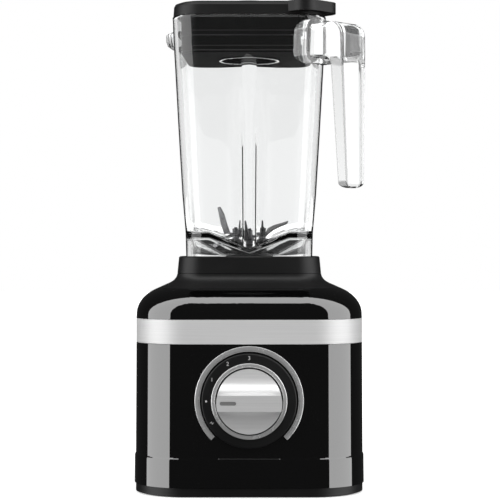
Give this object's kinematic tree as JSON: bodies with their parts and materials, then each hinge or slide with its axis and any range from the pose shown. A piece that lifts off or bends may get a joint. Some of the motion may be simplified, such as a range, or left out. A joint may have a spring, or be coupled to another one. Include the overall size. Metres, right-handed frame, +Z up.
{
  "type": "countertop blender",
  "caption": "Countertop blender: motor base with a turning speed dial, lift-off clear jar with handle and spout, spinning blades, lid and measuring cap.",
  "frame": {"origin": "centre of the resting face on the counter", "axes": "+Z up along the motor and blade axis; -Y is the dial side; the jar handle points to +X -Y"},
  "size_m": [0.181, 0.217, 0.3918],
  "materials": {
    "housing_gloss": "high gloss moulded black",
    "black_matte": "fine matte moulded black",
    "pad_rubber": "soft matte black",
    "seal_rubber": "food-grade silicone",
    "band_metal": "brushed along its length",
    "dial_metal": "satin ring",
    "knob_metal": "satin die-cast",
    "jar_clear": "clear moulded",
    "handle_clear": "clear moulded",
    "cap_clear": "smoke-clear moulded",
    "blade_steel": "ground stainless",
    "hub_dark": "glass-filled black",
    "screw_steel": "zinc plated",
    "bracket_cast": "die-cast",
    "bearing_steel": "ground",
    "bush_bronze": "plain",
    "core_steel": "laminated, varnished",
    "coil_copper": "enamelled copper",
    "brush_carbon": "carbon block",
    "spring_steel": "polished",
    "moulded_grey": "glass-filled nylon",
    "board_green": "solder mask",
    "electric_parts": "moulded"
  },
  "bodies": {
    "base": {"foot_ring": "pad_rubber", "base_tray": "black_matte", "tray_screws": "screw_steel", "lower_housing": "housing_gloss", "trim_band": "band_metal", "upper_housing": "housing_gloss", "jar_pad": "pad_rubber", "pad_screws": "screw_steel", "motor_lower_bracket": "bracket_cast", "motor_upper_bracket": "bracket_cast", "lower_bearing": "bearing_steel", "upper_bearing": "bearing_steel", "stator_core": "core_steel", "field_coils": "coil_copper", "brush_holders": "bush_bronze", "carbon_brushes": "brush_carbon", "brush_springs": "spring_steel", "motor_screws": "screw_steel", "motor_mounts": "pad_rubber", "mount_screws": "screw_steel", "air_baffle": "moulded_grey", "control_board": "board_green", "interference_capacitor": "electric_parts", "thermal_cutout": "electric_parts", "rotary_switch": "electric_parts", "switch_nut": "screw_steel", "dial_plinth": "black_matte", "dial_trim_ring": "dial_metal", "knob_bezel": "dial_metal", "cord_gland": "black_matte"},
    "rotor": {"motor_shaft": "spring_steel", "armature_core": "core_steel", "armature_windings": "coil_copper", "commutator": "coil_copper", "cooling_fan": "moulded_grey", "drive_coupler": "moulded_grey"},
    "knob": {"control_knob": "knob_metal", "knob_shaft": "spring_steel"},
    "jar": {"jar_body": "jar_clear", "jar_handle": "handle_clear", "jar_collar": "black_matte", "blade_housing": "hub_dark", "blade_bushes": "bush_bronze", "blade_seal": "seal_rubber", "housing_gasket": "seal_rubber", "hub_nut": "hub_dark"},
    "blades": {"blade_spindle": "blade_steel", "blade_washer": "blade_steel", "lower_blades": "blade_steel", "upper_blades": "blade_steel", "blade_nut": "blade_steel", "driven_coupler": "moulded_grey"},
    "lid": {"lid_cover": "black_matte", "lid_seal": "seal_rubber"},
    "cap": {"measuring_cap": "cap_clear"}
  },
  "joints": [
    {"name": "rotor_spin", "type": "hinge", "parent": "base", "child": "rotor", "pos_m": [0, 0, 0.08], "axis": [0, 0, 1], "continuous": true},
    {"name": "knob_turn", "type": "hinge", "parent": "base", "child": "knob", "pos_m": [0, -0.1, 0.0745], "axis": [0, 1, 0], "range_deg": [-30, 90]},
    {"name": "jar_lift", "type": "slide", "parent": "base", "child": "jar", "axis": [0, 0, 1], "range_m": [0, 0.06]},
    {"name": "blade_spin", "type": "hinge", "parent": "jar", "child": "blades", "pos_m": [0, 0, 0.19], "axis": [0, 0, 1], "continuous": true},
    {"name": "lid_lift", "type": "slide", "parent": "jar", "child": "lid", "axis": [0, 0, 1], "range_m": [0, 0.06]},
    {"name": "cap_lift", "type": "slide", "parent": "lid", "child": "cap", "axis": [0, 0, 1], "range_m": [0, 0.05]}
  ],
  "couplings": [
    {"joint": "blade_spin", "follows": "rotor_spin", "ratio": 1}
  ]
}
